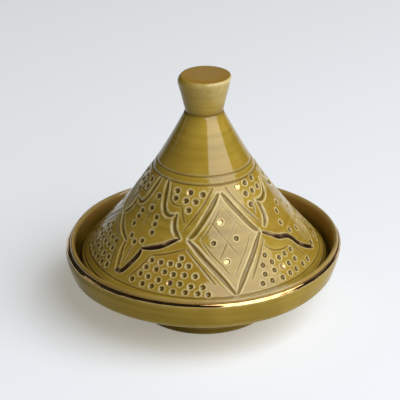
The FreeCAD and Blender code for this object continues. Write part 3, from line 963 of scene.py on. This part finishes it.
def knob_gloss(path):
    """Where the glaze lies thick and glossy: over the rounded edge."""
    from_edge = (path[:, 1] - knob_high.z + KNOB_GLOSS_DROP) / KNOB_GLOSS_REACH
    return np.exp(-from_edge ** 2) * (path[:, 0] > NECK_RADIUS)


knob_marks = {
    "pooled": knob_crease, "thin": knob_thinning_and_highlight, "tan": knob_top, "amber": knob_amber, "glossed": knob_gloss,
}
knob = turned("lid_knob_glazed", knob_section, own_marks=knob_marks)
knob_thin_and_light, knob_ambers = knob.data.attributes["thin"].data, knob.data.attributes["amber"].data
for vertex, thin_and_light_mark, amber_mark in zip(knob.data.vertices, knob_thin_and_light, knob_ambers):
    to_right, to_back = vertex.co.x / knob_high.x, vertex.co.y / knob_high.x
    # Painted light: the pale edge and side are brighter to the right and fade out to the left.
    thin_and_light_mark.value *= KNOB_PAINTED_LIGHT_MIDDLE + KNOB_PAINTED_LIGHT_TO_RIGHT * to_right
    amber_mark.value *= held(KNOB_AMBER_MIDDLE * (1 - to_back))
    depth = held((knob_high.z - KNOB_CROWN - vertex.co.z) / KNOB_SAG_SPAN)
    vertex.co.x += KNOB_TOP_SHIFT * held(1 + (vertex.co.z - knob_high.z) / KNOB_EDGE_HEIGHT)
    vertex.co.z -= KNOB_EDGE_SAG * 4 * depth * (1 - depth) * min(0.0, to_right) ** 2
knob.data.materials.append(glaze_material("satin_mustard_glaze", SATIN_GLOSS))
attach(knob, "lid")
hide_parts("lid_knob")

# Studio: a broad pale table that runs out of the frame on every side, a large soft window high on the
# right with a narrow wing, and three weak cards. The table looks paler than the light it gives the pot.
FLOOR_SPAN = 40.0
FLOOR_DROP = 0.05 * MM
FLOOR_GREY = linear(226, 234, 248)
FLOOR_GLOW = 0.37
FLOOR_WARMTH = linear(236, 231, 216)
ROOM_GREY = linear(222, 228, 240)
ROOM_LIGHT = 0.03
POT_MIDDLE = 0.1
floor_mesh = bpy.data.meshes.new("table")
floor_corners = []
for x_side, y_side in ((-1, -1), (1, -1), (1, 1), (-1, 1)):
    floor_corners.append((x_side * FLOOR_SPAN / 2, y_side * FLOOR_SPAN / 2, -FLOOR_DROP))
floor_mesh.from_pydata(floor_corners, [], [(0, 1, 2, 3)])
floor = bpy.data.objects.new("table", floor_mesh)
bpy.context.scene.collection.objects.link(floor)
floor_material, floor_wire = new_material("pale_table")
matt = {"Base Color": FLOOR_GREY, "Roughness": 0.85}
lit_floor = floor_wire.node("ShaderNodeBsdfPrincipled", values=matt)
glow = {"Emission Color": FLOOR_WARMTH, "Emission Strength": FLOOR_GLOW}
shown_floor = floor_wire.node("ShaderNodeBsdfPrincipled", values={**matt, **glow})
ray_kinds = ("Is Camera Ray", "Is Glossy Ray", "Is Transmission Ray")
rays = [floor_wire.node("ShaderNodeLightPath", out=kind) for kind in ray_kinds]
seen = (rays[0] + rays[1] + rays[2]).held()
floor_surface = floor_wire.node("ShaderNodeMixShader", values={0: seen, 1: lit_floor, 2: shown_floor})
floor_wire.node("ShaderNodeOutputMaterial", values={"Surface": floor_surface})
floor_mesh.materials.append(floor_material)


def panel_light(name, azimuth, elevation, distance, slide, size, radiance):
    """A soft panel that faces the pot's middle from an azimuth right of the camera and an elevation, in
    degrees, and is slid to the right and up in its own plane. Its distance, slide and size are in metres."""
    lamp = bpy.data.lights.new(name, "AREA")
    lamp.shape = "RECTANGLE"
    lamp.size, lamp.size_y = size
    lamp.energy = radiance * math.pi * size[0] * size[1]
    panel = bpy.data.objects.new(name, lamp)
    panel.rotation_euler = (math.radians(90 - elevation), 0, math.radians(azimuth))
    away = panel.rotation_euler.to_matrix() @ Vector((*slide, distance))
    panel.location = Vector((0, 0, POT_MIDDLE)) + away
    bpy.context.scene.collection.objects.link(panel)


panel_light("window", 47, 40, 2.5, (0.0, 0.325), (2.58, 2.3), 3.8)
panel_light("window_wing", 47, 40, 2.5, (1.52, 0.625), (0.46, 1.7), 3.0)
panel_light("right_card", 118, 28, 1.6, (0.0, 0.0), (1.3, 0.9), 0.14)
panel_light("side_card", -93, 11.0, 1.3, (0.0, 0.0), (0.7, 0.18), 0.4)
panel_light("back_card", 180, 22, 2.0, (0.0, 0.0), (2.4, 0.8), 0.2)
world = bpy.data.worlds.new("studio")
bpy.context.scene.world = world
world.use_nodes = True
background = world.node_tree.nodes["Background"]
background.inputs["Color"].default_value = ROOM_GREY
background.inputs["Strength"].default_value = ROOM_LIGHT

# Camera: a long lens in front of the pot and above it, looking down at the angle of the photograph. The
# framing is slid sideways, so that the pot stands a little right of the middle.
CAMERA_SENSOR = 36.0
CAMERA_LENS = 135.2
CAMERA_SLIDE = -0.0103
CAMERA_PLACE = (0.0, -1.0745, 0.6174)
CAMERA_DIP = 26.075
camera_data = bpy.data.cameras.new("camera")
camera_data.sensor_width = CAMERA_SENSOR
camera_data.lens = CAMERA_LENS
camera_data.shift_x = CAMERA_SLIDE
camera = bpy.data.objects.new("camera", camera_data)
camera.location = CAMERA_PLACE
camera.rotation_euler = (math.radians(90 - CAMERA_DIP), 0, 0)
bpy.context.scene.collection.objects.link(camera)
bpy.context.scene.camera = camera
bpy.context.scene.view_settings.view_transform = "Standard"
